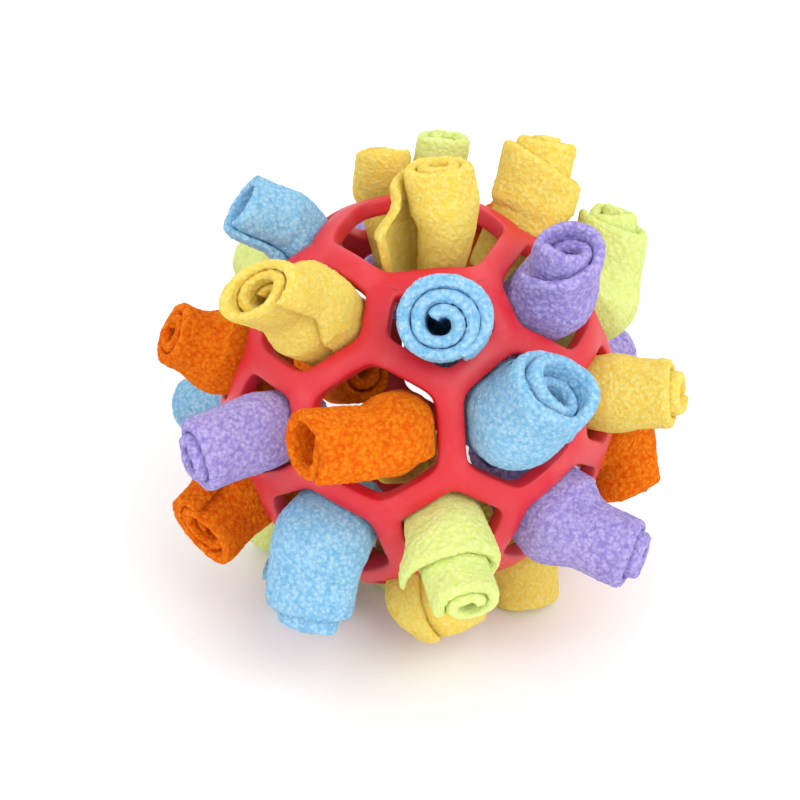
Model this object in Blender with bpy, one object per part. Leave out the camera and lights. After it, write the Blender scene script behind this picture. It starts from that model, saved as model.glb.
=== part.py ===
"""Snuffle ball: a hollow one-piece rubber lattice ball with rolled strips of fleece stuffed into its holes.

Metres, +Z up, standing on its lowest rolls at z = 0. Run with blender --background --python part.py.

The lattice is a truncated icosahedron, so it has 12 five-sided and 20 six-sided holes, and one
six-sided hole faces straight up. Every hole holds one rolled strip, except one that holds two.
A roll is one band of fleece wound into a spiral, and it bends only outside the ball.
"""

import math
from collections import namedtuple

import bmesh
import bpy
from mathutils import Matrix, Vector

MM = 0.001

# The rubber ball
BALL_DIAMETER = 115 * MM
BALL_WALL = 5.5 * MM
STRUT_WIDTH = 7.8 * MM
STRUT_CROWN = 0.7 * MM
HOLE_CORNER_PULL = 0.9 * MM
TOP_HOLE_STRETCH = 6.0 * MM
STRUT_CUTS = 2
BALL_AZIMUTH = -81.0
# How far the ball's underside is held off the floor by the rolls below it
FLOOR_GAP = 6.5 * MM
BALL_SHIFT_X = -0.9 * MM
BALL_SHIFT_Y = -0.8 * MM

# The fleece and how a strip is rolled
FLEECE_THICKNESS = 2.8 * MM
LAYER_GAP = 0.85 * MM
LEAST_LAYER_GAP = 0.4 * MM
ROLL_EYE = 1.7 * MM
ROLL_RADIUS = 12 * MM
ROLL_REACH = 20 * MM
SEAT_CLEARANCE = 0.3 * MM
TAIL_DEPTH = 18 * MM
NECK_RISE = 0.5 * MM
SEGMENTS_PER_TURN = 8
FLAP_ARC = 80.0

# What stands on the floor is cut flat this deep
STAND_CUT = 0.5 * MM
CUTTER_SIDE = 400 * MM

# Angles that tell a hole's corner from a straight run, and a sharp edge from a smooth one
CORNER_TURN = 35.0
SHARP_TURN = 40.0
# How fine the search for a roll's seat is
ROUND_OFF = 0.001 * MM

BALL_RADIUS = BALL_DIAMETER / 2
INNER_RADIUS = BALL_RADIUS - BALL_WALL
BALL_CENTRE = Vector((BALL_SHIFT_X, BALL_SHIFT_Y, BALL_RADIUS + FLOOR_GAP))
TAIL_OUT = BALL_RADIUS - TAIL_DEPTH
NECK_OUT = BALL_RADIUS + NECK_RISE
# A tail narrows as the cone from the ball's centre through its hole does, so tails never meet
TAIL_SHARE = TAIL_OUT / INNER_RADIUS
FLOOR_REACH_SHARE = (FLOOR_GAP + STAND_CUT) / ROLL_REACH
LAYER_PITCH = FLEECE_THICKNESS + LAYER_GAP
# The angle at the centre between a corner of an icosahedron and the middle of a face beside it
CORNER_TO_FACE = math.acos(math.sqrt((5 + 2 * math.sqrt(5)) / 15))

RED = "#CF2233"
COLOURS = {
    "blue": "#8CC8EC",
    "yellow": "#FBC93F",
    "orange": "#EE6F16",
    "purple": "#AD9CDF",
    "green": "#CDEB7E",
}

# One rolled strip. The hole is the one nearest to azimuth and elevation, seen from the ball's centre.
# Clock angles turn in the hole's plane, seen from outside: 0 is to the right, 90 is up.
# seat         clock angle of the strut that the roll leans on inside its hole
# neck, body   radius where the rubber grips it, and outside, over ROLL_RADIUS
# side, up, reach   place of the middle of its end: right and up from the hole's axis, and off the
#              ball, over ROLL_REACH
# bend         how far its end turns, over the angle at which its end lies off the hole's axis;
#              0 goes straight out from the neck
# start        clock angle of the outer edge of the strip;   hand  1 winds inwards anticlockwise
# core         how far the middle stands out of the end, or sinks in where negative, over FLEECE_THICKNESS
# flap         how far the outer edge stands off, over FLEECE_THICKNESS
# flat         height of the end over its width;   flat_at  clock angle of its wide way
Roll = namedtuple(
    "Roll",
    "name colour azimuth elevation seat neck body side up reach bend start hand core flap flat flat_at",
)
ROLL_SHARES = (
    Roll("roll_01", "blue", -81, 53, -90, 0.87, 1.02, -0.09, -0.3, 0.95, 2, 60, 1, 0.5, 0, 0.88, 0),
    Roll("roll_02", "blue", -59, 20, 150, 1.05, 1.2, -0.16, 0.6, 0.98, 2, 200, 1, -0.7, 0, 0.9, -35),
    Roll("roll_03", "purple", -21, 48, -150, 0.9, 0.97, -0.5, -0.2, 0.8, 2, 150, -1, -0.7, 0, 0.9, 60),
    Roll("roll_04", "yellow", 100, 90, -90, 0.88, 0.9, 0.2, -0.64, 0.93, 1.3, 180, 1, 0.7, 1.1, 0.8, 10),
    Roll("roll_05", "yellow", 39, 53, 0, 0.87, 1.07, -0.25, 0, 0.97, 2, 20, 1, 1.4, 0, 0.9, 0),
    Roll("roll_06", "yellow", -141, 48, -30, 0.95, 1.03, -0.05, -0.55, 1.35, 2, -40, 1, -0.7, 0.7, 0.75, 15),
    Roll("roll_07", "orange", -103, 20, 0, 0.93, 0.9, -0.55, 0.15, 1.3, 1.3, 100, -1, -0.7, 0, 0.8, 80),
    Roll("roll_08", "purple", -141, 11, 0, 0.87, 0.97, 0.06, -0.18, 1.12, 2, 110, 1, 0.5, 0, 0.85, 90),
    Roll("roll_09", "green", -81, -11, 0, 0.87, 1.03, 0.04, 0, 1.08, 2, 170, 1, 0.9, 1.1, 0.75, 10),
    Roll("roll_10", "blue", -119, -20, 90, 1.0, 1.1, 0.28, -0.5, 0.9, 1.7, -100, -1, 1.1, 0, 0.85, 0),
    Roll("roll_11", "purple", -43, -20, 120, 0.92, 1.0, 0.3, 0.04, 1.15, 0.7, 90, 1, 0.3, 0, 0.85, 90),
    Roll("roll_12", "yellow", -21, 11, 0, 0.87, 1.08, 0, -0.03, 0.85, 2, -120, 1, 1.4, 0, 0.95, 0),
    Roll("roll_13", "blue", 159, 53, 0, 0.87, 0.95, -0.52, -0.4, 0.77, 1.3, 90, -1, -0.5, 0, 0.85, 70),
    Roll("roll_14", "orange", -179, 20, -120, 0.9, 0.97, 0.1, -0.34, 0.68, 2, 60, 1, 0.3, 0, 0.85, 80),
    Roll("roll_15", "orange", -163, -20, 0, 0.9, 1.02, 0.5, 0.35, 0.83, 1.3, 120, 1, 0, 0, 0.75, 0),
    Roll("roll_16", "green", 17, 20, 180, 0.85, 0.92, -0.8, -0.1, 0.69, 1.3, 0, 1, 0.3, 0, 0.9, 0),
    Roll("roll_17", "yellow", -81, -48, 180, 0.95, 0.98, 0.2, -0.2, 0.84, 0.8, -90, 1, 0, 0.5, 0.95, 0),
    Roll("roll_18", "orange", 1, -20, 0, 0.88, 0.9, -0.4, 0.28, 0.64, 1.3, 0, 1, 0.4, 0, 0.85, 0),
    Roll("roll_19", "yellow", -21, -53, 180, 0.87, 0.93, -0.32, -0.2, 0.75, 2, 60, 1, 0, 0, 0.9, 0),
    Roll("roll_20", "blue", 159, -11, 90, 0.87, 0.93, 0.03, 0.3, 0.92, 2, 200, 1, 0.3, 0, 0.9, 0),
    Roll("roll_21", "green", 137, 20, 90, 0.88, 0.92, -0.03, 0.37, 0.75, 2, 100, -1, 0.3, 0, 0.9, 0),
    Roll("roll_22", "yellow", 99, 48, 180, 0.6, 0.67, 0.03, 0.2, 0.68, 2, 30, 1, 0, 0, 0.95, 0),
    Roll("roll_23", "green", 99, 48, 0, 0.6, 0.73, 0.78, -0.08, 0.87, 2, -90, 1, 0.5, 0, 0.9, 0),
    Roll("roll_24", "purple", 39, -11, 0, 0.87, 0.93, 0.17, -0.02, 1.12, 2, 45, -1, 0.3, 0, 0.9, 0),
    Roll("roll_25", "blue", -141, -53, 180, 0.87, 0.92, -0.4, -0.31, 0.69, 2, 135, 1, 0.3, 0, 0.9, 0),
    Roll("roll_26", "green", 159, -48, 90, 0.9, 0.93, 0.2, 0.33, 0.93, 2, 0, 1, 0.3, 0, 0.9, 0),
    Roll("roll_27", "orange", 61, 20, -90, 0.9, 0.93, 0.07, -0.28, 0.97, 2, 10, 1, 0.3, 0, 0.9, 0),
    Roll("roll_28", "purple", 99, 11, 0, 0.87, 0.97, -0.08, 0.1, 1.02, 2, 80, -1, 0.7, 0, 0.9, 0),
    Roll("roll_29", "blue", 77, -20, 180, 0.92, 0.95, 0.15, -0.1, 1.05, 2, 150, 1, 0.3, 0, 0.85, 0),
    Roll("roll_30", "orange", 121, -20, 0, 0.88, 0.93, -0.15, 0.1, 1.0, 2, 220, 1, 0.3, 0, 0.9, 0),
    Roll("roll_31", "yellow", 99, -53, 0, 0.87, 0.93, 0.05, 0.05, 0.9, 2, 20, -1, 0.3, 0, 0.9, 0),
    Roll("roll_32", "purple", 39, -48, 0, 0.9, 0.93, 0.2, -0.36, 1.22, 2, 60, 1, 0.3, 0, 0.9, 0),
    Roll("roll_33", "green", 100, -90, 90, 0.95, 0.97, 0, 0, FLOOR_REACH_SHARE, 0, 0, 1, 0, 0, 1, 0),
)

Hole = namedtuple("Hole", "axis side up rim rim_out")
Station = namedtuple("Station", "centre turn")


def clear_scene():
    for obj in list(bpy.data.objects):
        bpy.data.objects.remove(obj, do_unlink=True)


def linear(hex_colour):
    """sRGB hex to linear red, green, blue and alpha."""
    channels = [int(hex_colour[i : i + 2], 16) / 255 for i in (1, 3, 5)]
    return [c / 12.92 if c <= 0.04045 else ((c + 0.055) / 1.055) ** 2.4 for c in channels] + [1.0]


def material(name, hex_colour, roughness):
    made = bpy.data.materials.new(name)
    made.use_nodes = True
    shader = made.node_tree.nodes["Principled BSDF"]
    shader.inputs["Base Color"].default_value = linear(hex_colour)
    shader.inputs["Roughness"].default_value = roughness
    shader.inputs["Metallic"].default_value = 0.0
    return made


def add_object(name, bm, finish):
    """A smooth-shaded object from a bmesh, which it frees."""
    bmesh.ops.recalc_face_normals(bm, faces=bm.faces)
    mesh = bpy.data.meshes.new(name)
    bm.to_mesh(mesh)
    bm.free()
    mesh.materials.append(finish)
    mesh.shade_smooth()
    mesh.set_sharp_from_angle(angle=math.radians(SHARP_TURN))
    obj = bpy.data.objects.new(name, mesh)
    bpy.context.scene.collection.objects.link(obj)
    return obj


def solid_pattern():
    """The truncated icosahedron about the origin, a six-sided face up and that face stretched."""
    bm = bmesh.new()
    turn = Matrix.Rotation(math.radians(BALL_AZIMUTH), 4, "Z") @ Matrix.Rotation(CORNER_TO_FACE, 4, "Y")
    bmesh.ops.create_icosphere(bm, subdivisions=1, radius=BALL_RADIUS, matrix=turn)
    third_of_each_edge = 100 / 3
    bmesh.ops.bevel(
        bm, geom=bm.verts[:], offset=third_of_each_edge, offset_type="PERCENT", segments=1,
        profile=0.5, affect="VERTICES", material=-1,
    )
    top = max(bm.faces, key=lambda face: face.calc_center_median().z)
    for vert in top.verts:
        outward = Vector((vert.co.x, vert.co.y, 0)).normalized()
        vert.co += outward * TOP_HOLE_STRETCH
    for vert in bm.verts:
        vert.co = vert.co.normalized() * BALL_RADIUS
    return bm


def is_corner(loop):
    """True where a face's outline turns by more than a straight run on the sphere does."""
    before = (loop.vert.co - loop.link_loop_prev.vert.co).normalized()
    after = (loop.link_loop_next.vert.co - loop.vert.co).normalized()
    return before.angle(after) > math.radians(CORNER_TURN)


def lattice_and_holes():
    """The ball's bmesh, and each hole's axis, plane, inner rim and how far out that lies, about the centre."""
    bm = solid_pattern()
    bmesh.ops.subdivide_edges(bm, edges=bm.edges[:], cuts=STRUT_CUTS)
    ring = bmesh.ops.inset_individual(
        bm, faces=bm.faces[:], thickness=STRUT_WIDTH / 2, use_even_offset=True
    )["faces"]
    struts = set(ring)
    openings = [face for face in bm.faces if face not in struts]
    edge_verts = {vert for face in openings for vert in face.verts}
    for face in openings:
        middle = face.calc_center_median()
        pulls = {loop.vert: (middle - loop.vert.co).normalized() for loop in face.loops if is_corner(loop)}
        for vert, inward in pulls.items():
            vert.co += inward * HOLE_CORNER_PULL
    for vert in bm.verts:
        radius = BALL_RADIUS - STRUT_CROWN if vert in edge_verts else BALL_RADIUS
        vert.co = vert.co.normalized() * radius
    holes = []
    for face in openings:
        rim = [vert.co.normalized() * INNER_RADIUS for vert in face.verts]
        axis = sum((point.normalized() for point in rim), Vector()).normalized()
        side = (Vector((1, 0, 0)) - axis * axis.x).normalized()
        up = axis.cross(side)
        flat_rim = [Vector((p.dot(side), p.dot(up))) for p in rim]
        holes.append(Hole(axis, side, up, flat_rim, max(p.dot(axis) for p in rim)))
    bmesh.ops.delete(bm, geom=openings, context="FACES_ONLY")
    inner = bmesh.ops.extrude_face_region(bm, geom=bm.faces[:])["geom"]
    for item in inner:
        if isinstance(item, bmesh.types.BMVert):
            item.co = item.co.normalized() * INNER_RADIUS
    bmesh.ops.translate(bm, verts=bm.verts[:], vec=BALL_CENTRE)
    return bm, holes


def direction(azimuth, elevation):
    a = math.radians(azimuth)
    e = math.radians(elevation)
    return Vector((math.cos(e) * math.cos(a), math.cos(e) * math.sin(a), math.sin(e)))


def clock(degrees):
    return Vector((math.cos(math.radians(degrees)), math.sin(math.radians(degrees))))


def spiral(roll, flap=0.0):
    """(outer point, inner point, share of the way in) along the strip, about the roll's middle."""
    body = roll.body * ROLL_RADIUS
    turns = (body - FLEECE_THICKNESS - ROLL_EYE) / LAYER_PITCH
    steps = round(turns * SEGMENTS_PER_TURN)
    points = []
    for step in range(steps + 1):
        turned = 360 * step / SEGMENTS_PER_TURN
        outer = body - LAYER_PITCH * turned / 360
        outer += flap * max(0.0, 1 - turned / FLAP_ARC) ** 2
        way = clock(roll.start + roll.hand * turned)
        points.append((way * outer, way * (outer - FLEECE_THICKNESS), step / steps))
    return points


def flattened(point, roll):
    """The point of an end that is pressed flat: narrower across its wide way, the wide way as it was."""
    wide = clock(roll.flat_at)
    across = clock(roll.flat_at + 90)
    return wide * point.dot(wide) + across * point.dot(across) * roll.flat


def gap_to_rim(points, rim):
    """The least distance from the points to the rim's sides, negative where one is outside."""
    least = math.inf
    centre = sum(rim, Vector((0, 0))) / len(rim)
    for a, b in zip(rim, rim[1:] + rim[:1]):
        along = (b - a).normalized()
        inward = Vector((-along.y, along.x))
        if inward.dot(centre - a) < 0:
            inward = -inward
        least = min(least, min(inward.dot(point - a) for point in points))
    return least


def widest_place(rim):
    """The middle and radius of the largest circle inside the rim."""
    middle = sum(rim, Vector((0, 0))) / len(rim)
    step = STRUT_WIDTH
    while step > ROUND_OFF:
        tries = [middle + clock(angle) * step for angle in range(0, 360, 30)]
        best = max(tries, key=lambda point: gap_to_rim([point], rim))
        if gap_to_rim([best], rim) > gap_to_rim([middle], rim):
            middle = best
        else:
            step /= 2
    return middle, gap_to_rim([middle], rim)


def seated(neck, hole, middle, seat):
    """The neck's middle in its hole, moved towards the seat's strut as far as the clearance allows."""
    way = clock(seat)
    share_at_rim = TAIL_SHARE + (1 - TAIL_SHARE) * (hole.rim_out - TAIL_OUT) / (NECK_OUT - TAIL_OUT)
    low = 0.0
    high = INNER_RADIUS
    while high - low > ROUND_OFF:
        shift = (low + high) / 2
        moved = [(point + middle + way * shift) * share_at_rim for point in neck]
        if gap_to_rim(moved, hole.rim) > SEAT_CLEARANCE:
            low = shift
        else:
            high = shift
    return middle + way * low


def place(hole, station, point, along=0.0):
    """World position of a point of a section, whose plane has turned from the hole's."""
    local = station.turn @ Vector((point.x, point.y, along)) + station.centre
    return BALL_CENTRE + hole.side * local.x + hole.up * local.y + hole.axis * local.z


def stations_of(roll, offset):
    """The roll's middle and turn at its tail, at its neck, and halfway and at the end of its bend."""
    straight = Matrix.Identity(3)
    neck = Vector((*offset, NECK_OUT))
    across = Vector((roll.side, roll.up)) * ROLL_REACH if roll.bend else offset
    end = Vector((*across, BALL_RADIUS + roll.reach * ROLL_REACH))
    run = end - neck
    sideways = Vector((run.x, run.y, 0))
    lean = roll.bend * math.atan2(sideways.length, run.z)
    bend_axis = Vector((-sideways.y, sideways.x, 0)).normalized() if lean else Vector((0, 1, 0))
    end_turn = Matrix.Rotation(lean, 3, bend_axis)
    # A cubic curve that leaves the neck straight out and comes to the end along the end's own way
    handle = Vector((0, 0, run.length / 3))
    out_of_neck = neck + handle
    into_end = end - end_turn @ handle
    half_way = (neck + 3 * out_of_neck + 3 * into_end + end) / 8
    heading = end + into_end - out_of_neck - neck
    half_lean = math.atan2(heading.dot(sideways.normalized()), heading.z)
    return (
        Station(Vector((*(offset * TAIL_SHARE), TAIL_OUT)), straight),
        Station(neck, straight),
        Station(half_way, Matrix.Rotation(half_lean, 3, bend_axis)),
        Station(end, end_turn),
    )


def sections_of(roll, hole):
    """The roll's sections from its tail inside the ball to its end, each a list of world points."""
    middle, room = widest_place(hole.rim)
    neck_share = min(roll.neck * ROLL_RADIUS, room - SEAT_CLEARANCE) / (roll.body * ROLL_RADIUS)
    plain = spiral(roll)
    loose = spiral(roll, roll.flap * FLEECE_THICKNESS)
    offset = seated([outer * neck_share for outer, _, _ in plain], hole, middle, roll.seat)
    shapes = (
        (plain, neck_share * TAIL_SHARE, 0),
        (plain, neck_share, 0),
        (loose, 1, 0),
        (loose, 1, roll.core * FLEECE_THICKNESS),
    )
    sections = []
    for station, (pairs, scale, core) in zip(stations_of(roll, offset), shapes):
        section = []
        for outer, inner, share in pairs:
            for point in (outer, inner):
                shaped = flattened(point, roll) if pairs is loose else point
                section.append(place(hole, station, shaped * scale, core * share))
        sections.append(section)
    return sections


def least_layer_gap(sections):
    """The least distance between a layer's outer corners and the inside of the layer round it."""
    least = math.inf
    for section in sections:
        outers = section[0::2]
        inners = section[1::2]
        for index in range(SEGMENTS_PER_TURN, len(outers)):
            beside = inners[index - SEGMENTS_PER_TURN]
            least = min(least, (outers[index] - beside).length)
    return least


def add_roll(roll, hole, finish):
    """A band of fleece: a strip of faces across its layers, extruded from section to section."""
    sections = sections_of(roll, hole)
    gap = least_layer_gap(sections)
    bm = bmesh.new()
    number = bm.verts.layers.int.new("number")
    verts = [bm.verts.new(point) for point in sections[0]]
    for index, vert in enumerate(verts):
        vert[number] = index
    for i in range(0, len(verts) - 2, 2):
        bm.faces.new((verts[i], verts[i + 1], verts[i + 3], verts[i + 2]))
    end = bm.faces[:] + bm.edges[:]
    for section in sections[1:]:
        grown = bmesh.ops.extrude_face_region(bm, geom=end)["geom"]
        end = [item for item in grown if not isinstance(item, bmesh.types.BMVert)]
        for item in grown:
            if isinstance(item, bmesh.types.BMVert):
                item.co = section[item[number]]
    lowest = min(vert.co.z for vert in bm.verts)
    obj = add_object(f"{roll.name}_{roll.colour}", bm, finish)
    return obj, lowest, gap


def add_floor_cutter():
    bm = bmesh.new()
    bmesh.ops.create_cube(bm, size=CUTTER_SIDE, matrix=Matrix.Translation((0, 0, -CUTTER_SIDE / 2)))
    mesh = bpy.data.meshes.new("floor_cutter")
    bm.to_mesh(mesh)
    bm.free()
    cutter = bpy.data.objects.new("floor_cutter", mesh)
    bpy.context.scene.collection.objects.link(cutter)
    cutter.hide_render = True
    cutter.display_type = "WIRE"
    return cutter


def cut_flat(obj, cutter):
    """Flattens a roll's underside where it stands on the floor."""
    cut = obj.modifiers.new("stand_flat", "BOOLEAN")
    cut.operation = "DIFFERENCE"
    cut.solver = "EXACT"
    cut.object = cutter


def main():
    clear_scene()
    ball, holes = lattice_and_holes()
    add_object("rubber_ball", ball, material("rubber_red", RED, 0.45))
    cutter = add_floor_cutter()
    gaps = []
    for roll in ROLL_SHARES:
        hole = max(holes, key=lambda h: h.axis.dot(direction(roll.azimuth, roll.elevation)))
        finish = material(f"fleece_{roll.colour}_{roll.name}", COLOURS[roll.colour], 0.95)
        obj, lowest, gap = add_roll(roll, hole, finish)
        gaps.append(gap)
        if lowest < 0:
            cut_flat(obj, cutter)
    print(f"least gap between the layers of a roll: {min(gaps) / MM:.2f} mm, wanted {LEAST_LAYER_GAP / MM:.1f}")


main()
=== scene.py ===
# %% [markdown]
# # A snuffle ball: a rubber lattice ball stuffed with rolls of fleece
# The real toy is a hollow ball, moulded in one piece from red rubber with twelve five-sided and
# twenty six-sided holes. A strip of fleece is rolled up and pushed into every hole, and food hides
# behind the rolls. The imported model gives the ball, the rolls and the body that each one moves
# with, so this script only dresses them: finer shapes, the real materials, a floor, lamps and a
# camera.

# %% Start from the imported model
import math
from collections import namedtuple

import bmesh
import bpy
from mathutils import Matrix, Vector, noise

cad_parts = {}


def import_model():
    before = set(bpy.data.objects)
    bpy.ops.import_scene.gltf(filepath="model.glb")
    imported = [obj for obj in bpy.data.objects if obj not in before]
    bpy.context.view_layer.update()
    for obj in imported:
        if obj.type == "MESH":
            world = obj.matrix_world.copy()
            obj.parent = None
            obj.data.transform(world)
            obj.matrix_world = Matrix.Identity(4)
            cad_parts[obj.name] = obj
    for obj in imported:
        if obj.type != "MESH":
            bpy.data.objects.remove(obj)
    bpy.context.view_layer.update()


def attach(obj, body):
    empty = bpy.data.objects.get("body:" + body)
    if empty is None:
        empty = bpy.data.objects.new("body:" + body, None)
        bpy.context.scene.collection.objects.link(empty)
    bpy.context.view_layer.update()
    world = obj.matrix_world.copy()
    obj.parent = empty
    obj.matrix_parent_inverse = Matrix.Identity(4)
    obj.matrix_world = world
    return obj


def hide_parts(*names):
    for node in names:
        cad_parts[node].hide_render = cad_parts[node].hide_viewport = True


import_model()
MM = 0.001

# %% [markdown]
# # The camera
# The photographer stands in front of the ball and looks down at it by about 32 degrees. The
# camera's place, tilt and focal length were worked out from the lattice, whose holes are all alike,
# and the ball's centre is the point that it turns about. A long lens keeps the near rolls from
# looking too large.

# %% Camera
BALL_CENTRE = Vector((-0.9, -0.8, 64)) * MM
CAMERA_FROM_BALL = Vector((-5.2, -434.5, 272.7)) * MM
CAMERA_TILT = 57.6
LENS = 79.5
SENSOR_WIDTH = 36
NEAREST_SEEN = 10 * MM

camera_data = bpy.data.cameras.new("camera")
camera_data.lens = LENS
camera_data.sensor_width = SENSOR_WIDTH
camera_data.clip_start = NEAREST_SEEN
camera = bpy.data.objects.new("camera", camera_data)
camera.location = BALL_CENTRE + CAMERA_FROM_BALL
camera.rotation_euler = (math.radians(CAMERA_TILT), 0, 0)
bpy.context.scene.collection.objects.link(camera)
bpy.context.scene.camera = camera
print("camera at", [round(value, 4) for value in camera.location])

# %% [markdown]
# # Colours and nodes
# A colour is written as it looks on a screen, in hex, and Blender calculates with linear light, so
# one function turns the one into the other. One more function adds a node with its settings, its
# values and its links. The last four add what the materials are mostly made of: noise of a given
# size, a change of range, a blend of two colours and a bump. That keeps each material short enough
# to read.

# %% Colour and node helpers
BLEND_SHARE = 0
BLEND_FIRST = 6
BLEND_SECOND = 7
BLEND_RESULT = 2


def linear(hex_colour):
    """Linear red, green, blue and alpha of an sRGB hex colour."""
    channels = [int(hex_colour[i : i + 2], 16) / 255 for i in (1, 3, 5)]
    return [c / 12.92 if c <= 0.04045 else ((c + 0.055) / 1.055) ** 2.4 for c in channels] + [1.0]


def add_node(tree, kind, values=None, links=None, **settings):
    """Adds a node: settings are its own, values and links go to its inputs by name or number."""
    made = tree.nodes.new(kind)
    for name, value in settings.items():
        setattr(made, name, value)
    for socket, value in (values or {}).items():
        made.inputs[socket].default_value = value
    for socket, source in (links or {}).items():
        tree.links.new(source, made.inputs[socket])
    return made


def new_material(name):
    """An empty node material, its tree, its shader and the place of each point on the object."""
    made = bpy.data.materials.new(name)
    made.use_nodes = True
    tree = made.node_tree
    shader = tree.nodes["Principled BSDF"]
    place = tree.nodes.new("ShaderNodeTexCoord").outputs["Object"]
    return made, tree, shader, place


def per_mm(size):
    """A scale whose features are about size millimetres across, on object coordinates in metres."""
    return 1 / (size * MM)


def add_noise(tree, place, size, detail, roughness=0.5):
    """Noise whose features are about size millimetres across."""
    values = {"Scale": per_mm(size), "Detail": detail, "Roughness": roughness}
    return add_node(tree, "ShaderNodeTexNoise", values, {"Vector": place})


def add_range(tree, value, found, wanted):
    """The value with its range, a pair, stretched to the wanted one and clipped there."""
    values = {"From Min": found[0], "From Max": found[1], "To Min": wanted[0], "To Max": wanted[1]}
    return add_node(tree, "ShaderNodeMapRange", values, {"Value": value}).outputs["Result"]


def add_blend(tree, share, first, second):
    """A blend of two hex colours: the first where the share is 0, the second where it is 1."""
    values = {BLEND_FIRST: linear(first), BLEND_SECOND: linear(second)}
    made = add_node(tree, "ShaderNodeMix", values, {BLEND_SHARE: share}, data_type="RGBA")
    return made.outputs[BLEND_RESULT]


def add_bump(tree, height, strength, depth, below=None):
    """A bump of a depth in millimetres, on top of the bump below where there is one."""
    links = {"Height": height}
    if below is not None:
        links["Normal"] = below
    values = {"Strength": strength, "Distance": depth * MM}
    return add_node(tree, "ShaderNodeBump", values, links).outputs["Normal"]


# %% [markdown]
# # Moulded rubber
# The ball is soft natural rubber, coloured right through and moulded in a blasted steel mould. That
# leaves a skin that is neither matt nor glossy: broad soft highlights on the struts, and a deep,
# strong red in the holes where the red light bounces between the walls. Handling leaves faint pale
# scuffs, and the mould leaves shallow ripples. So the shader is a plain non-metal with a middling
# roughness, and slow noise moves its colour, its roughness and its surface a little.

# %% Rubber material
RUBBER = "#D41C2C"
RUBBER_SCUFFED = "#DE4A50"
RUBBER_ROUGHNESS = (0.38, 0.5)
RUBBER_IOR = 1.52
MOST_SCUFFED = 0.8


def moulded_rubber():
    """Red rubber with pale scuffs, slow ripples and a fine grain."""
    made, tree, shader, place = new_material("moulded_natural_rubber_red")
    patches = add_noise(tree, place, size=16, detail=4.0, roughness=0.6).outputs["Fac"]
    scuffs = add_range(tree, patches, (0.5, 0.75), (0.0, MOST_SCUFFED))
    colour = add_blend(tree, scuffs, RUBBER, RUBBER_SCUFFED)
    roughness = add_range(tree, patches, (0.3, 0.7), RUBBER_ROUGHNESS)
    ripples = add_noise(tree, place, size=4, detail=3.0, roughness=0.55).outputs["Fac"]
    rippled = add_bump(tree, ripples, strength=0.35, depth=0.25)
    grain = add_noise(tree, place, size=0.5, detail=2.0).outputs["Fac"]
    grained = add_bump(tree, grain, strength=0.25, depth=0.04, below=rippled)
    tree.links.new(colour, shader.inputs["Base Color"])
    tree.links.new(roughness, shader.inputs["Roughness"])
    tree.links.new(grained, shader.inputs["Normal"])
    shader.inputs["IOR"].default_value = RUBBER_IOR
    return made


rubber = moulded_rubber()
print("made", rubber.name)

# %% [markdown]
# # Polar fleece
# The strips are polar fleece: a knitted polyester that is brushed until loops stand up, then
# tumbled so that they gather in small clumps a millimetre or two across. The hollows between the
# clumps are given a deeper, darker colour as painted shade, and the loose fibre ends catch
# light at grazing angles and give each roll a soft pale rim. The cells of a Voronoi pattern, bent
# by slow noise, make the clumps, and finer noise the tufts of fibre. Together they are one height,
# which drives both the colour and the bump, so the hollows get the painted shade. Each colour of
# cloth is the same recipe with its own cloth colour on the tips and its own painted shade colour.

# %% Fleece material
# Each cloth: the colour of its clump tips, then a darker painted shade colour for the hollows.
FLEECES = {
    "blue": ("#BCE4FA", "#70B8E6"),
    "yellow": ("#FFF08E", "#FFD64A"),
    "orange": ("#FF961C", "#E65202"),
    "purple": ("#D0C4F6", "#9080D2"),
    "green": ("#F8FFB0", "#E2F480"),
}
CLUMP_SIZE = 1.3
CLUMP_BEND = 1.2 * MM
DOME_SHARE = 0.36
SHADED_FROM_TO = (0.42, 0.92)


def polar_fleece(name, tips, shaded_depths):
    """Fleece whose clumps have the cloth colour of the tips and whose hollows a painted shade
    colour.
    """
    made, tree, shader, place = new_material(f"polar_fleece_{name}")
    bends = add_noise(tree, place, size=2.5, detail=2.0).outputs["Color"]
    bent = add_node(
        tree, "ShaderNodeVectorMath", {1: (CLUMP_BEND, CLUMP_BEND, CLUMP_BEND)},
        {0: bends, 2: place}, operation="MULTIPLY_ADD",
    )
    clumps = add_node(
        tree, "ShaderNodeTexVoronoi", {"Scale": per_mm(CLUMP_SIZE), "Smoothness": 0.6},
        {"Vector": bent.outputs["Vector"]}, feature="SMOOTH_F1",
    )
    domes = add_range(tree, clumps.outputs["Distance"], (0.1, 0.7), (1.0, 0.0))
    fibres = add_noise(tree, place, size=0.8, detail=4.0, roughness=0.75).outputs["Fac"]
    mottle = add_noise(tree, place, size=6, detail=2.0).outputs["Fac"]
    pile = add_node(
        tree, "ShaderNodeMath", {1: DOME_SHARE}, {0: domes, 2: fibres}, operation="MULTIPLY_ADD"
    ).outputs["Value"]
    # Painted shade: the lower the pile, the nearer the colour comes to the darker hollow colour.
    shade = add_range(tree, pile, SHADED_FROM_TO, (0.0, 1.0))
    colour = add_blend(tree, shade, shaded_depths, tips)
    worn = add_range(tree, mottle, (0.3, 0.7), (0.95, 1.04))
    mottled = add_node(tree, "ShaderNodeHueSaturation", links={"Color": colour, "Value": worn})
    bump = add_bump(tree, pile, strength=1.0, depth=0.8)
    tree.links.new(mottled.outputs["Color"], shader.inputs["Base Color"])
    tree.links.new(bump, shader.inputs["Normal"])
    shader.inputs["Roughness"].default_value = 1.0
    shader.inputs["Specular IOR Level"].default_value = 0.1
    shader.inputs["Sheen Weight"].default_value = 0.3
    shader.inputs["Sheen Roughness"].default_value = 0.5
    shader.inputs["Sheen Tint"].default_value = linear(tips)
    return made


fleeces = {name: polar_fleece(name, tips, shaded_depths) for name, (tips, shaded_depths) in FLEECES.items()}
print("made", len(fleeces), "fleeces")

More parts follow.
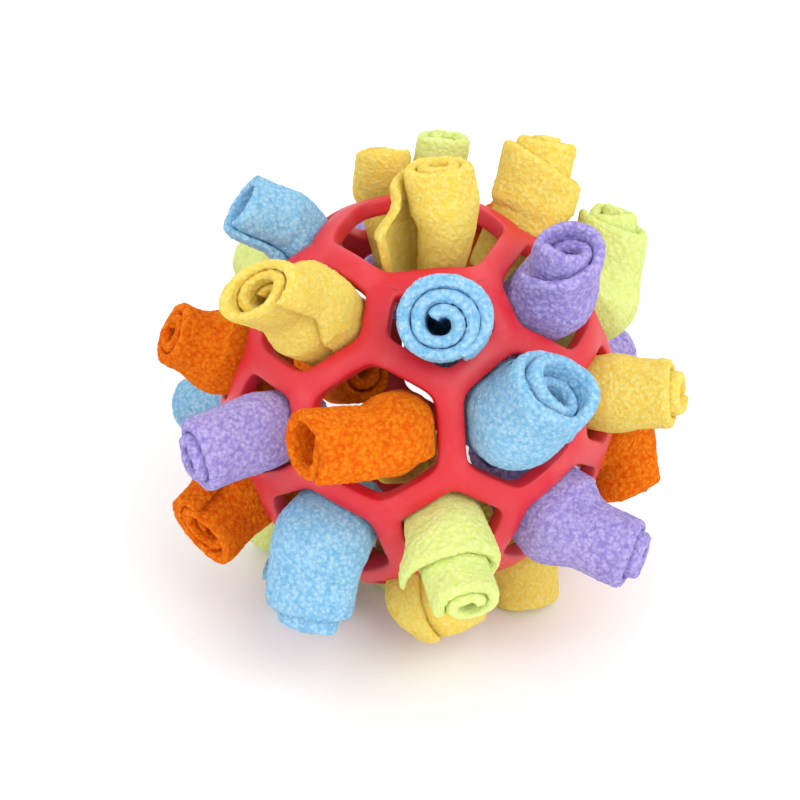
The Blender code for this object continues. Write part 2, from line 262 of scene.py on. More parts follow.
# %% [markdown]
# # The lattice
# The ball is the pattern of a classic football with its panels cut out. An icosphere of twenty
# triangles whose corners are bevelled by a third of each edge has just those twelve five-sided and
# twenty six-sided faces. Each face is inset by half a strut and taken out, and what is left is
# thickened towards the centre, so the walls of the holes run towards the middle of the ball as a
# mould's cores make them. The fine ball has more points along each strut, and its edges are rounded
# by a bevel and one subdivision.

# %% Lattice pattern
BALL_RADIUS = 57.5 * MM
BALL_WALL = 5.5 * MM
INNER_RADIUS = BALL_RADIUS - BALL_WALL
STRUT_WIDTH = 7.8 * MM
STRUT_CROWN = 0.7 * MM
HOLE_CORNER_PULL = 0.9 * MM
TOP_HOLE_STRETCH = 6 * MM
BALL_AZIMUTH = -81
CORNER_TURN = 35
CORNER_CUT_PERCENT = 100 / 3
CORNER_TO_FACE = math.acos(math.sqrt((5 + 2 * math.sqrt(5)) / 15))

Hole = namedtuple("Hole", "axis side up rim rim_out")


def pattern():
    """The ball's faces on its sphere, about the origin, with a stretched six-sided one on top."""
    bm = bmesh.new()
    azimuth_turn = Matrix.Rotation(math.radians(BALL_AZIMUTH), 4, "Z")
    turn = azimuth_turn @ Matrix.Rotation(CORNER_TO_FACE, 4, "Y")
    bmesh.ops.create_icosphere(bm, subdivisions=1, radius=BALL_RADIUS, matrix=turn)
    bmesh.ops.bevel(
        bm, geom=bm.verts[:], offset=CORNER_CUT_PERCENT, offset_type="PERCENT", segments=1,
        profile=0.5, affect="VERTICES", material=-1,
    )
    top = max(bm.faces, key=lambda face: face.calc_center_median().z)
    for vert in top.verts:
        vert.co += Vector((vert.co.x, vert.co.y, 0)).normalized() * TOP_HOLE_STRETCH
    for vert in bm.verts:
        vert.co = vert.co.normalized() * BALL_RADIUS
    return bm


def is_corner(loop):
    """True where a hole's outline turns more than a straight run on the ball does."""
    before = (loop.vert.co - loop.link_loop_prev.vert.co).normalized()
    after = (loop.link_loop_next.vert.co - loop.vert.co).normalized()
    return before.angle(after) > math.radians(CORNER_TURN)


def spread_evenly(face):
    """Moves the points along each side of a hole to even distances between its corners."""
    loops = list(face.loops)
    corners = [i for i, loop in enumerate(loops) if is_corner(loop)]
    for a, b in zip(corners, corners[1:] + [corners[0] + len(loops)]):
        first = loops[a].vert.co.copy()
        last = loops[b % len(loops)].vert.co.copy()
        for i in range(a + 1, b):
            loops[i % len(loops)].vert.co = first.lerp(last, (i - a) / (b - a))


def lattice(cuts, corner_pull, even):
    """The ball's outer faces with each hole's corners rounded, and the list of the holes' faces."""
    bm = pattern()
    bmesh.ops.subdivide_edges(bm, edges=bm.edges[:], cuts=cuts)
    ring = bmesh.ops.inset_individual(
        bm, faces=bm.faces[:], thickness=STRUT_WIDTH / 2, use_even_offset=True
    )["faces"]
    struts = set(ring)
    openings = [face for face in bm.faces if face not in struts]
    rims = {vert for face in openings for vert in face.verts}
    for face in openings:
        if even:
            spread_evenly(face)
        middle = face.calc_center_median()
        corners = [loop.vert for loop in face.loops if is_corner(loop)]
        pulls = {vert: (middle - vert.co).normalized() for vert in corners}
        for vert, inward in pulls.items():
            vert.co += inward * corner_pull
    for vert in bm.verts:
        radius = BALL_RADIUS - STRUT_CROWN if vert in rims else BALL_RADIUS
        vert.co = vert.co.normalized() * radius
    return bm, openings


# %% The fine ball
FINE_CUTS = 5
FINE_CORNER_PULL = 0.6 * MM
EDGE_ROUNDING = 0.8 * MM
SHARP_EDGE = 45
SAME_RADIUS = 1 * MM


def add_piece(name, bm, finish):
    """A smooth-shaded object at the origin from a bmesh, which it frees."""
    bmesh.ops.recalc_face_normals(bm, faces=bm.faces)
    mesh = bpy.data.meshes.new(name)
    bm.to_mesh(mesh)
    bm.free()
    mesh.materials.append(finish)
    mesh.shade_smooth()
    made = bpy.data.objects.new(name, mesh)
    bpy.context.scene.collection.objects.link(made)
    return made


def subdivide(piece, levels):
    """Adds a subdivision that is as fine on the screen as in the render."""
    added = piece.modifiers.new("finer", "SUBSURF")
    added.levels = levels
    added.render_levels = levels


def lattice_ball():
    """The fine ball: the struts' outer faces thickened towards the centre, with rounded rims."""
    bm, openings = lattice(FINE_CUTS, FINE_CORNER_PULL, even=True)
    bmesh.ops.delete(bm, geom=openings, context="FACES_ONLY")
    inner = bmesh.ops.extrude_face_region(bm, geom=bm.faces[:])["geom"]
    for item in inner:
        if isinstance(item, bmesh.types.BMVert):
            item.co = item.co.normalized() * INNER_RADIUS
    bmesh.ops.recalc_face_normals(bm, faces=bm.faces)
    rim_edges = []
    for edge in bm.edges:
        radii = [vert.co.length for vert in edge.verts]
        is_sharp = edge.calc_face_angle(0) > math.radians(SHARP_EDGE)
        if is_sharp and abs(radii[0] - radii[1]) < SAME_RADIUS:
            rim_edges.append(edge)
    bmesh.ops.bevel(
        bm, geom=rim_edges, offset=EDGE_ROUNDING, offset_type="OFFSET", segments=2,
        profile=0.5, affect="EDGES", material=-1,
    )
    bmesh.ops.translate(bm, verts=bm.verts[:], vec=BALL_CENTRE)
    made = add_piece("lattice_ball", bm, rubber)
    subdivide(made, levels=1)
    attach(made, "ball")
    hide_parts("rubber_ball")
    return made


ball = lattice_ball()
print("ball faces before the subdivision:", len(ball.data.polygons))

# %% [markdown]
# # The holes
# A roll needs to know its hole: which way it faces, and how far it may lean before it meets the
# rubber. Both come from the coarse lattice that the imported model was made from, so the holes and
# their frames are the same in both. The seat is found as a hand would find it, by pushing the roll
# sideways until it touches the rim. Some rolls lean on another part of their rims than the packed
# ones do, because the photograph was followed further here.

# %% Hole frames and seats
COARSE_CUTS = 2
ROLL_RADIUS = 12 * MM
ROLL_REACH = 20 * MM
SEAT_CLEARANCE = 0.3 * MM
TAIL_DEPTH = 18 * MM
TAIL_OUT = BALL_RADIUS - TAIL_DEPTH
NECK_ABOVE_BALL = 0.5 * MM
NECK_OUT = BALL_RADIUS + NECK_ABOVE_BALL
TAIL_SHARE = TAIL_OUT / INNER_RADIUS
ROUND_OFF = 0.001 * MM
SEARCH_TURN = 30


def hole_frames():
    """Each hole's axis, its two ways across, its inner rim and how far out that rim lies."""
    bm, openings = lattice(COARSE_CUTS, HOLE_CORNER_PULL, even=False)
    found = []
    for face in openings:
        rim = [vert.co.normalized() * INNER_RADIUS for vert in face.verts]
        axis = sum((point.normalized() for point in rim), Vector()).normalized()
        side = (Vector((1, 0, 0)) - axis * axis.x).normalized()
        up = axis.cross(side)
        flat_rim = [Vector((p.dot(side), p.dot(up))) for p in rim]
        found.append(Hole(axis, side, up, flat_rim, max(p.dot(axis) for p in rim)))
    bm.free()
    return found


def direction(azimuth, elevation):
    """A unit vector from two angles in degrees."""
    a = math.radians(azimuth)
    e = math.radians(elevation)
    return Vector((math.cos(e) * math.cos(a), math.cos(e) * math.sin(a), math.sin(e)))


def clock(degrees):
    """A unit vector in a hole's plane, seen from outside: 0 points right and 90 up."""
    return Vector((math.cos(math.radians(degrees)), math.sin(math.radians(degrees))))


def gap_to_rim(points, rim):
    """The least distance from the points to the rim's sides, negative where one is outside."""
    least = math.inf
    centre = sum(rim, Vector((0, 0))) / len(rim)
    for a, b in zip(rim, rim[1:] + rim[:1]):
        along = (b - a).normalized()
        inward = Vector((-along.y, along.x))
        if inward.dot(centre - a) < 0:
            inward = -inward
        least = min(least, min(inward.dot(point - a) for point in points))
    return least


def widest_place(rim):
    """The middle and radius of the largest circle inside the rim."""
    middle = sum(rim, Vector((0, 0))) / len(rim)
    step = STRUT_WIDTH
    while step > ROUND_OFF:
        tries = [middle + clock(angle) * step for angle in range(0, 360, SEARCH_TURN)]
        best = max(tries, key=lambda point: gap_to_rim([point], rim))
        if gap_to_rim([best], rim) > gap_to_rim([middle], rim):
            middle = best
        else:
            step /= 2
    return middle, gap_to_rim([middle], rim)


def reach_to_rim(centre, way, rim):
    """The distance from a point inside the rim to the rim, along a way."""
    least = math.inf
    middle = sum(rim, Vector((0, 0))) / len(rim)
    for a, b in zip(rim, rim[1:] + rim[:1]):
        along = (b - a).normalized()
        outward = Vector((along.y, -along.x))
        if outward.dot(middle - a) > 0:
            outward = -outward
        if outward.dot(way) > ROUND_OFF:
            least = min(least, outward.dot(a - centre) / outward.dot(way))
    return least


def share_at_rim(hole):
    """How wide the roll is at the hole's inner rim, over its width at its neck."""
    return TAIL_SHARE + (1 - TAIL_SHARE) * (hole.rim_out - TAIL_OUT) / (NECK_OUT - TAIL_OUT)


def seated(neck, hole, middle, seat):
    """The neck's middle, moved towards the seat's strut as far as the clearance allows."""
    way = clock(seat)
    low = 0.0
    high = INNER_RADIUS
    while high - low > ROUND_OFF:
        shift = (low + high) / 2
        moved = [(point + middle + way * shift) * share_at_rim(hole) for point in neck]
        if gap_to_rim(moved, hole.rim) > SEAT_CLEARANCE:
            low = shift
        else:
            high = shift
    return middle + way * low


holes = hole_frames()
print("holes:", len(holes))

# %% [markdown]
# # The rolls
# Each row of the table is one rolled strip. The first columns mean what they mean for the packed
# model: the hole, where the roll leans, how thick it is, where its end lies, how it is wound and
# how flat it is pressed. Many of their values were fitted to the photograph once more, so some of
# these rolls end up to 12 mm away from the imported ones. The rest is what the photograph shows of
# each end: how far the layers stand out or sink in, where the middle of the winding has slipped to,
# and how the outer edge of the strip hangs off.

# %% Table of rolls
# azimuth, elevation   way from the ball's centre to the hole, in degrees
# seat                 clock angle of the strut that the roll leans on
# neck, body           radius in the hole and outside, over ROLL_RADIUS
# side, up, reach      place of the end over ROLL_REACH
# bend                 how far the end turns, over the angle at which it lies off the hole's axis
# start, hand          clock angle of the strip's outer edge, and which way it winds
# core, flap           how far the middle stands out and the outer edge stands off, over FLEECE
# flat, flat_at        height of the end over its width, and the clock angle of its wide way
# step, step_at        how much the outer layers stop short, in mm, and for how many degrees
# corner               how much the strip's outer corner stops short, in mm
# deep, deep_at        how far the inner turns sink in, in mm, and from which share of the winding
# slip, slip_at        how far the middle has slipped over the radius, and its clock angle
# slant, slant_at      how much further out the outer layers end at one side, in mm, and which side
# twist                how far the winding turns from the hole to the end, in degrees
# fill                 how wide the roll may spread to fill its hole, over its neck
# wing                 how far the strip's outer edge stands off in the hole, over FLEECE
Roll = namedtuple(
    "Roll",
    "name colour azimuth elevation seat neck body side up reach bend start hand core flap "
    "flat flat_at step step_at corner deep deep_at slip slip_at slant slant_at twist fill wing",
    defaults=(0, 340, 0, 0, 0.45, 0, 0, 0, 0, 0, 1.2, 0),
)
ROLLS = (
    Roll("roll_01", "blue", -81, 53, -90, 0.87, 1.13, -0.13, -0.35, 0.95, 1.2,
         -60, 1, 0.5, -1, 0.95, 0, slip=0.08, slip_at=-90, fill=1.5),
    Roll("roll_02", "blue", -59, 20, 150, 1.22, 1.2, -0.04, 0.71, 0.94, 1.45,
         -30, 1, 0.2, -0.7, 0.92, -35, step=4, deep=6, deep_at=0.45),
    Roll("roll_03", "purple", -21, 48, -150, 1.1, 1.05, -0.75, -0.17, 1.0, 1.27,
         205, 1, -0.7, 0.4, 0.9, 60, step=5, corner=5, deep=8),
    Roll("roll_04", "yellow", 100, 90, -55, 0.87, 1.02, 0.2, -0.3, 0.83, 0.33,
         215, -1, 0.3, 0.4, 0.8, 10, corner=4, fill=1, wing=4.6),
    Roll("roll_05", "yellow", 39, 53, 0, 0.87, 1.15, -0.1, -0.07, 1.09, 1.07,
         90, 1, 1.2, -0.3, 0.9, 0, step=5, slant=4, slant_at=180, fill=1.35),
    Roll("roll_06", "yellow", -141, 48, -30, 1.1, 1.12, 0.17, -0.44, 1.36, 0.39,
         -65, 1, -0.7, 0.3, 0.62, -5, deep=5, twist=15, fill=1.35),
    Roll("roll_07", "orange", -103, 20, 0, 0.98, 0.95, -0.68, 0.04, 0.98, 0.86,
         -20, 1, -0.3, -0.3, 0.85, 160, deep=6, deep_at=0.5, twist=-30, fill=1.15),
    Roll("roll_08", "purple", -141, 11, 0, 1.0, 1.0, 0, -0.18, 1.08, 1.42,
         -160, 1, 0.5, -0.5, 0.8, 90, step=2),
    Roll("roll_09", "green", -81, -11, 180, 0.95, 1.12, 0.03, -0.1, 1.07, 0.2,
         205, -1, 0.9, 1.2, 0.8, 10, step=10, step_at=330, corner=2),
    Roll("roll_10", "blue", -119, -20, 70, 1.2, 1.16, 0.26, -0.53, 0.88, 1.21,
         -100, -1, 1.1, -0.5, 0.7, 0, step=4, step_at=330, fill=1.08),
    Roll("roll_11", "purple", -43, -20, 120, 1.15, 1.05, 0.2, 0.27, 1.26, 1.45,
         -67, 1, 0.3, -0.7, 0.9, 90, step=3, slip=0.15, slip_at=0),
    Roll("roll_12", "yellow", -21, 11, 0, 0.95, 0.96, 0.23, 0.02, 0.88, 0.54,
         0, 1, 1.1, -0.7, 0.95, 0, step=1.5),
    Roll("roll_13", "blue", 159, 53, -60, 0.9, 1.0, -0.31, -0.36, 0.86, 0.62,
         -135, -1, -0.5, -0.5, 0.8, 70, deep=7, fill=1.35),
    Roll("roll_14", "orange", -179, 20, -120, 1.15, 0.95, 0.07, -0.32, 0.78, 1.09,
         124, 1, 0.3, -0.5, 0.85, 80),
    Roll("roll_15", "orange", -163, -20, 0, 1.15, 1.08, 0.59, 0.52, 0.78, 0.82,
         120, 1, 0, -0.3, 0.75, 0, deep=3),
    Roll("roll_16", "green", 17, 20, 180, 1.15, 0.95, -0.94, -0.32, 0.74, 1.21,
         180, 1, 1.8, -0.3, 0.9, 0, slant=3, slant_at=170),
    Roll("roll_17", "yellow", -81, -48, 90, 1.15, 1.0, 0.16, -0.06, 0.53, 0.47,
         120, 1, 0, -0.3, 0.95, 0),
    Roll("roll_18", "orange", 1, -20, 0, 1.15, 0.95, -0.38, 0.42, 0.56, 0.97,
         -124, 1, 0.8, -0.3, 0.85, 0),
    Roll("roll_19", "yellow", -21, -53, 180, 0.95, 0.93, -0.53, 0.08, 0.75, 1.14,
         -99, 1, 0, -0.3, 0.9, 0),
    Roll("roll_20", "blue", 159, -11, 90, 0.95, 0.93, 0.04, 0.32, 0.99, 0.6,
         4, 1, 0.3, -0.5, 0.9, 0),
    Roll("roll_21", "green", 137, 20, 90, 1.15, 0.92, -0.03, 0.37, 0.75, 2,
         67, -1, 0.3, -0.5, 0.9, 0),
    Roll("roll_22", "yellow", 99, 48, 122, 0.56, 0.8, -0.07, -0.41, 0.66, 0.26,
         88, 1, 0, -0.5, 0.95, 0, fill=1),
    Roll("roll_23", "green", 99, 48, 0, 0.56, 0.78, 0.83, -0.44, 0.76, 0.95,
         88, 1, 0.5, -0.5, 0.9, 0, fill=1),
    Roll("roll_24", "purple", 39, -11, 0, 0.95, 0.93, 0.17, -0.02, 1.12, 2,
         160, -1, 0.3, -0.5, 0.9, 0),
    Roll("roll_25", "blue", -141, -53, 180, 0.95, 0.92, -0.4, -0.31, 0.69, 2,
         135, 1, 0.3, -0.5, 0.9, 0),
    Roll("roll_26", "green", 159, -48, 90, 1.15, 0.93, 0.2, 0.33, 0.93, 2,
         0, 1, 0.3, -0.5, 0.9, 0),
    Roll("roll_27", "orange", 61, 20, -90, 1.15, 0.97, 0.07, -0.28, 0.97, 2,
         10, 1, 0.3, -0.5, 0.9, 0, slip=0.2, slip_at=120),
    Roll("roll_28", "purple", 99, 11, 0, 0.95, 0.97, -0.08, 0.1, 1.02, 2,
         80, -1, 0.7, -0.5, 0.9, 0, step=2),
    Roll("roll_29", "blue", 77, -20, 180, 1.15, 0.97, 0.15, -0.1, 1.05, 2,
         150, 1, 0.3, -0.5, 0.85, 0, deep=3),
    Roll("roll_30", "orange", 121, -20, 0, 1.15, 0.95, -0.15, 0.1, 1.0, 2,
         220, 1, 0.3, -0.5, 0.9, 0, slip=0.2, slip_at=-60),
    Roll("roll_31", "yellow", 99, -53, 0, 0.95, 0.93, 0.05, 0.05, 0.9, 2,
         20, -1, 0.3, -0.5, 0.9, 0),
    Roll("roll_32", "purple", 39, -48, 0, 1.15, 0.95, 0.2, -0.36, 1.22, 2,
         60, 1, 0.3, -0.5, 0.9, 0),
    Roll("roll_33", "green", 100, -90, 90, 1.1, 1.1, 0, 0, 0.35, 0,
         0, 1, 0, 0, 1, 0),
)
print("rolls:", len(ROLLS))

# %% [markdown]
# # Winding a strip
# A rolled strip seen end on is a spiral: every turn lies one thickness of cloth and a little air
# further in. The winding is walked in even steps along the cloth, not in even angles, so that the
# faces stay the same size from the outside to the middle. Real rolls are never round, so slow noise
# dents all the layers together, and the middle may slip to one side, which squeezes the layers
# there and opens them opposite.

# %% The spiral
FLEECE = 2.8 * MM
LAYER_PITCH = 3.65 * MM
ROLL_EYE = 1.4 * MM
FLAP_ARC = 100
PILE = 0.35 * MM
STEP_ALONG = 1.15 * MM
DENT = 0.045
DENTS_AROUND = 0.9
DENTS_ALONG = 14 * MM
DENT_SEED = 7.3
EDGE_PRESSED = 0.4
FILL_GAP = 0.5 * MM
FILL_TRIES = (-24, -12, 0, 12, 24)
SWELLS_WITHIN = 7 * MM
SETTLES_WITHIN = 11 * MM
STRIP_EDGE = (0.3 * MM, 0.9 * MM)
EDGE_SHRINK = (0.45, 0.2, 0.05)


def number_of(roll):
    """The number in the roll's name."""
    return int(roll.name[5:])


def winding(roll):
    """Degrees turned from the strip's outer edge to its inner one, in even steps of cloth."""
    body = roll.body * ROLL_RADIUS
    whole = 360 * (body - FLEECE - ROLL_EYE) / LAYER_PITCH
    steps = [0.0] + [math.degrees(along / body) for along in STRIP_EDGE]
    turned = steps[-1]
    while turned < whole:
        radius = body - FLEECE / 2 - LAYER_PITCH * turned / 360
        turned += math.degrees(STEP_ALONG / radius)
        steps.append(turned)
    if whole - steps[-2] < (steps[-2] - steps[-3]) / 2:
        steps.pop()
    steps[-1] = whole
    return steps


def on_spiral(roll, turned, across, loose):
    """A point of the section: across is 0 outside, 1 inside; loose is 1 where the strip is free."""
    body = roll.body * ROLL_RADIUS
    edge = max(0.0, 1 - turned / FLAP_ARC)
    free = loose * edge**2
    stands_off = roll.flap * free + roll.wing * (1 - loose) * edge
    outer = body - LAYER_PITCH * turned / 360 + PILE + stands_off * FLEECE
    thick = (FLEECE + 2 * PILE) * (1 - EDGE_PRESSED * free)
    return clock(roll.start + roll.hand * turned) * (outer - thick * across)


def spread(roll, hole, offset, neck_share, turned):
    """How much the roll widens here to fill its hole, and how far the rim is, at the neck."""
    rim = [point / share_at_rim(hole) for point in hole.rim]
    usual = (roll.body * ROLL_RADIUS - LAYER_PITCH / 2) * neck_share
    near = []
    for turn in FILL_TRIES:
        way = clock(roll.start + roll.hand * turned + turn)
        near.append(reach_to_rim(offset, way, rim) - FILL_GAP)
    widths = [min(roll.fill, max(1.0, reach / usual)) for reach in near]
    here = FILL_TRIES.index(0)
    return min(widths[here], sum(widths) / len(widths)), near[here]


def filled(point, spread_here):
    """The point of the neck after the roll has spread to fill its hole."""
    width, limit = spread_here
    return point.normalized() * min(point.length * width, limit)


def pressed(roll, point, out, loose):
    """The point after the roll is dented, its middle slips and its end is pressed flat."""
    body = roll.body * ROLL_RADIUS
    way = point.normalized()
    place = Vector((way.x * DENTS_AROUND, way.y * DENTS_AROUND, out / DENTS_ALONG))
    seed = Vector((DENT_SEED * number_of(roll), 0, 0))
    point = point * (1 + DENT * noise.noise(place + seed))
    inward = max(0.0, 1 - (point.length / body) ** 2)
    point = point + clock(roll.slip_at) * roll.slip * body * inward * loose
    wide = clock(roll.flat_at)
    across = clock(roll.flat_at + 90)
    flat = 1 + (roll.flat - 1) * loose
    point = wide * point.dot(wide) + across * point.dot(across) * flat
    return Matrix.Rotation(math.radians(roll.twist * loose), 2) @ point


print("first roll:", len(winding(ROLLS[0])), "steps")

# %% [markdown]
# # The way out of the hole
# The rubber grips the roll at its neck, so it leaves the hole straight, and outside it droops or
# leans. A curve with two handles does that: it leaves the neck along the hole's axis and comes to
# the end along the way that the end faces. Inside the ball the tail narrows as the cone from the
# ball's centre does.

# %% The path of a roll
HANDLE_SHARE = 0.25


def smooth(value):
    """An even rise from 0 to 1 that starts and ends gently."""
    value = min(1.0, max(0.0, value))
    return value * value * (3 - 2 * value)


def path_of(roll, offset):
    """A function from a share of the way to the end to a place and a turn, and the way's length."""
    neck = Vector((*offset, NECK_OUT))
    across = Vector((roll.side, roll.up)) * ROLL_REACH if roll.bend else offset
    end = Vector((*across, BALL_RADIUS + roll.reach * ROLL_REACH))
    run = end - neck
    sideways = Vector((run.x, run.y, 0))
    lean = roll.bend * math.atan2(sideways.length, run.z)
    bend_axis = Vector((-sideways.y, sideways.x, 0)).normalized() if lean else Vector((0, 1, 0))
    end_turn = Matrix.Rotation(lean, 3, bend_axis)
    handle = Vector((0, 0, run.length * HANDLE_SHARE))
    points = (neck, neck + handle, end - end_turn @ handle, end)

    def at(share):
        inside = min(share, 1.0)
        rest = 1 - inside
        weights = (rest**3, 3 * rest * rest * inside, 3 * rest * inside * inside, inside**3)
        place = sum((point * weight for point, weight in zip(points, weights)), Vector())
        slopes = (
            -rest * rest,
            rest * rest - 2 * rest * inside,
            2 * rest * inside - inside * inside,
            inside**2,
        )
        heading = sum((point * slope for point, slope in zip(points, slopes)), Vector())
        angle = math.atan2(heading.dot(sideways.normalized()), heading.z) if lean else 0.0
        turn = Matrix.Rotation(angle, 3, bend_axis)
        if share > 1:
            place = place + turn @ Vector((0, 0, (share - 1) * run.length))
        return place, turn

    return at, run.length


# %% [markdown]
# # Making a roll
# The strip starts as one row of faces across the layers of its tail, and that row is extruded from
# section to section along the path, so the roll is one closed band of cloth with a real thickness
# and real gaps between its turns. The last sections lie close together and draw in a little, which
# gives the cut edge of the cloth its soft rounding. One subdivision and a fine displacement then
# raise the clumps of the pile.

# %% Levels along a roll
TAIL_LEVELS = (0.0, 0.4, 0.8)
CLOTH_MIDDLE = 0.5
ACROSS_CLOTH = (0, CLOTH_MIDDLE, 1)
STEP_UP = 1.15 * MM
LEAST_STEPS_UP = 3
EDGE_DEPTHS = (1.9, 1.1, 0.5, 0.0)
EDGE_DRAWN_IN = (0.0, 0.07, 0.22, 0.5)
EDGE_BULGE = 0.35 * MM
STEP_EASE = 60
DEEP_EASE = 0.3
EDGE_WAVE = 0.7 * MM
EDGE_WAVE_ARC = 70
EDGE_WAVE_SEED = 3.1


def end_level(roll, turned, whole):
    """How far past the roll's end the strip reaches at this place of the winding."""
    share = turned / whole
    level = roll.core * FLEECE * share
    outer = 1 - smooth((turned - roll.step_at + STEP_EASE / 2) / STEP_EASE)
    level -= outer * roll.step * MM
    from_slant = math.radians(roll.start + roll.hand * turned - roll.slant_at)
    level += outer * roll.slant * MM * math.cos(from_slant)
    level -= roll.corner * MM * max(0.0, 1 - turned / FLAP_ARC)
    level -= roll.deep * MM * smooth((share - roll.deep_at) / DEEP_EASE)
    place = Vector((turned / EDGE_WAVE_ARC, EDGE_WAVE_SEED * number_of(roll), 0))
    return level + EDGE_WAVE * noise.noise(place)


def sections_of(roll, hole):
    """The roll's sections from tail to end, the degrees wound and the length outside the ball.

    A section is a row of points: for each step of the winding, those across the cloth."""
    middle, room = widest_place(hole.rim)
    neck_share = min(roll.neck * ROLL_RADIUS, room - SEAT_CLEARANCE) / (roll.body * ROLL_RADIUS)
    steps = winding(roll)
    whole = steps[-1]
    tight = [on_spiral(roll, turned, 0, 0) for turned in steps]
    grip = 1 - PILE / (roll.body * ROLL_RADIUS)
    offset = seated([point * neck_share * grip for point in tight], hole, middle, roll.seat)
    at, length = path_of(roll, offset)
    ends = [length + end_level(roll, turned, whole) for turned in steps]
    spreads = [spread(roll, hole, offset, neck_share, turned) for turned in steps]
    outside = max(LEAST_STEPS_UP, round(length / STEP_UP))
    sections = []

    def world(local):
        return BALL_CENTRE + hole.side * local.x + hole.up * local.y + hole.axis * local.z

    def in_neck(turned, across, spread_here):
        return filled(on_spiral(roll, turned, across, 0) * neck_share * grip, spread_here)

    for share in TAIL_LEVELS:
        cone = TAIL_SHARE + (1 - TAIL_SHARE) * share
        out = TAIL_OUT + (NECK_OUT - TAIL_OUT) * share
        row = []
        for turned, spread_here in zip(steps, spreads):
            for across in ACROSS_CLOTH:
                point = (in_neck(turned, across, spread_here) + offset) * cone
                row.append(world(Vector((point.x, point.y, out))))
        sections.append(row)
    levels = [(level / outside, 0.0, 0.0) for level in range(outside)]
    levels += [(1.0, depth * MM, drawn) for depth, drawn in zip(EDGE_DEPTHS, EDGE_DRAWN_IN)]
    for share, depth, drawn in levels:
        row = []
        for count, (turned, end, spread_here) in enumerate(zip(steps, ends, spreads)):
            out = end - depth if share == 1.0 else share * (end - EDGE_DEPTHS[0] * MM)
            loose = smooth(2 * out / length)
            place, turn = at(out / length)
            shrink = max(drawn, EDGE_SHRINK[count]) if count < len(EDGE_SHRINK) else drawn
            for across in ACROSS_CLOTH:
                within = across + (CLOTH_MIDDLE - across) * shrink
                neck = in_neck(turned, within, spread_here)
                body = pressed(roll, on_spiral(roll, turned, within, loose), out, loose)
                reach = SWELLS_WITHIN if neck.length < body.length else SETTLES_WITHIN
                point = neck.lerp(body, smooth(out / reach))
                bulge = EDGE_BULGE * drawn if across == CLOTH_MIDDLE else 0.0
                row.append(world(turn @ Vector((point.x, point.y, bulge)) + place))
        sections.append(row)
    return sections, whole, length


# %% Strips of fleece
PILE_LUMPS = 1.2 * MM
PILE_HEIGHT = 0.65 * MM

pile_texture = bpy.data.textures.new("pile_lumps", "CLOUDS")
pile_texture.noise_scale = PILE_LUMPS
pile_texture.noise_depth = 1


def raise_pile(piece):
    """Displaces the cloth by a fine noise, half of it outwards and half inwards."""
    lumps = piece.modifiers.new("pile", "DISPLACE")
    lumps.texture = pile_texture
    lumps.texture_coords = "LOCAL"
    lumps.strength = PILE_HEIGHT
    lumps.mid_level = 0.5


def roll_piece(roll):
    """One strip of fleece, wound and stuffed into its hole."""
    hole = max(holes, key=lambda h: h.axis.dot(direction(roll.azimuth, roll.elevation)))
    sections, whole, length = sections_of(roll, hole)
    bm = bmesh.new()
    number = bm.verts.layers.int.new("number")
    verts = [bm.verts.new(point) for point in sections[0]]
    for index, vert in enumerate(verts):
        vert[number] = index
    across = len(ACROSS_CLOTH)
    for i in range(0, len(verts) - across, across):
        for k in range(i, i + across - 1):
            corners = (k, k + 1, k + across + 1, k + across)
            bm.faces.new([verts[corner] for corner in corners])
    end = bm.faces[:] + bm.edges[:]
    for section in sections[1:]:
        grown = bmesh.ops.extrude_face_region(bm, geom=end)["geom"]
        end = [item for item in grown if not isinstance(item, bmesh.types.BMVert)]
        for item in grown:
            if isinstance(item, bmesh.types.BMVert):
                item.co = section[item[number]]
    for vert in bm.verts:
        vert.co.z = max(vert.co.z, PILE_HEIGHT / 2)
    made = add_piece(f"strip_{roll.name[5:]}_{roll.colour}", bm, fleeces[roll.colour])
    subdivide(made, levels=1)
    raise_pile(made)
    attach(made, roll.name)
    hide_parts(f"{roll.name}_{roll.colour}")
    return made


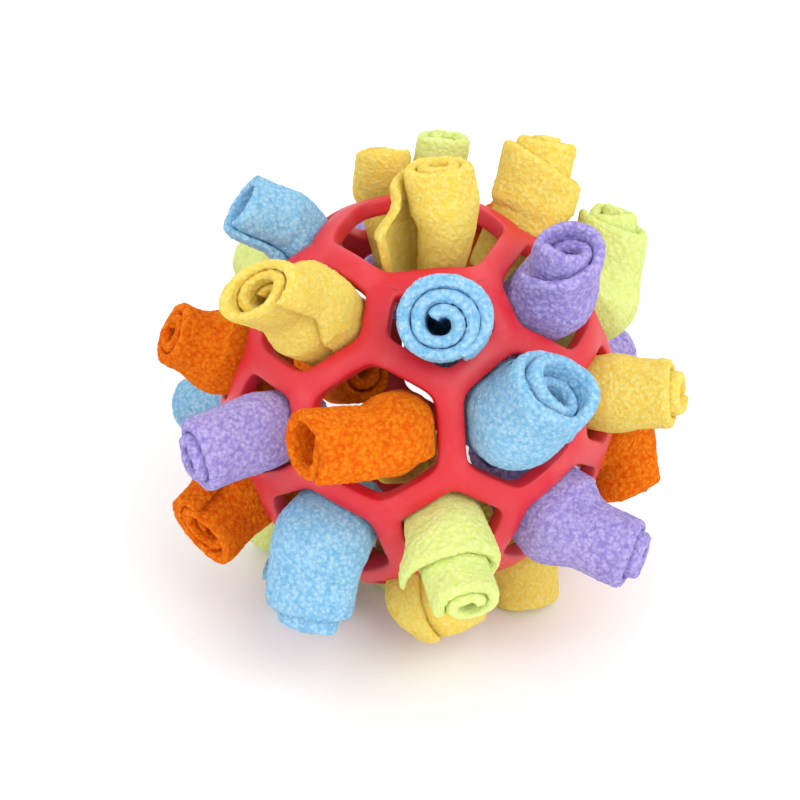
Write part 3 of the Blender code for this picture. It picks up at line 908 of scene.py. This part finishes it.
strips = [roll_piece(roll) for roll in ROLLS]
print("strips:", len(strips), "faces:", sum(len(piece.data.polygons) for piece in strips))

# %% [markdown]
# # Floor and light
# The toy lies on white paper under large soft lamps. The floor is a plain pale sheet that keeps the
# soft shadow. A large lamp stands in front, to the right and above, a weaker one to the left and a
# faint one behind, and an even pale world fills the rest, all at a level at which white paper just
# renders white.

# %% Floor
FLOOR_REACH = 3.0
PAPER = ("#FBFAFA", "#FFFFFF")


def add_floor():
    """A sheet of white paper below the toy."""
    bm = bmesh.new()
    bmesh.ops.create_grid(bm, x_segments=1, y_segments=1, size=FLOOR_REACH)
    made, tree, shader, place = new_material("white_paper")
    fibres = add_noise(tree, place, size=60, detail=2.0).outputs["Fac"]
    tree.links.new(add_blend(tree, fibres, *PAPER), shader.inputs["Base Color"])
    shader.inputs["Roughness"].default_value = 0.9
    shader.inputs["Specular IOR Level"].default_value = 0.2
    floor = add_piece("floor", bm, made)


add_floor()

# %% Lamps and world
# Each lamp: its name, its place and its size in metres, and its power in watts.
LAMPS = (
    ("key", (0.6, -0.8, 1.0), 0.9, 8.0),
    ("fill", (-0.9, -0.7, 0.8), 0.9, 3.5),
    ("back", (0.1, 0.9, 1.0), 0.8, 2.0),
)
WORLD_STRENGTH = 0.93


def add_lamp(name, place, size, power):
    """A soft square lamp that shines at the ball."""
    data = bpy.data.lights.new(name, "AREA")
    data.shape = "SQUARE"
    data.size = size
    data.energy = power
    lamp = bpy.data.objects.new(name, data)
    lamp.location = place
    lamp.rotation_euler = (BALL_CENTRE - Vector(place)).to_track_quat("-Z", "Y").to_euler()
    bpy.context.scene.collection.objects.link(lamp)


for lamp in LAMPS:
    add_lamp(*lamp)

world = bpy.data.worlds.new("soft_white_room")
world.use_nodes = True
bpy.context.scene.world = world
background = world.node_tree.nodes["Background"]
background.inputs["Color"].default_value = (1, 1, 1, 1)
background.inputs["Strength"].default_value = WORLD_STRENGTH
bpy.context.scene.view_settings.view_transform = "Standard"


bpy.context.view_layer.update()
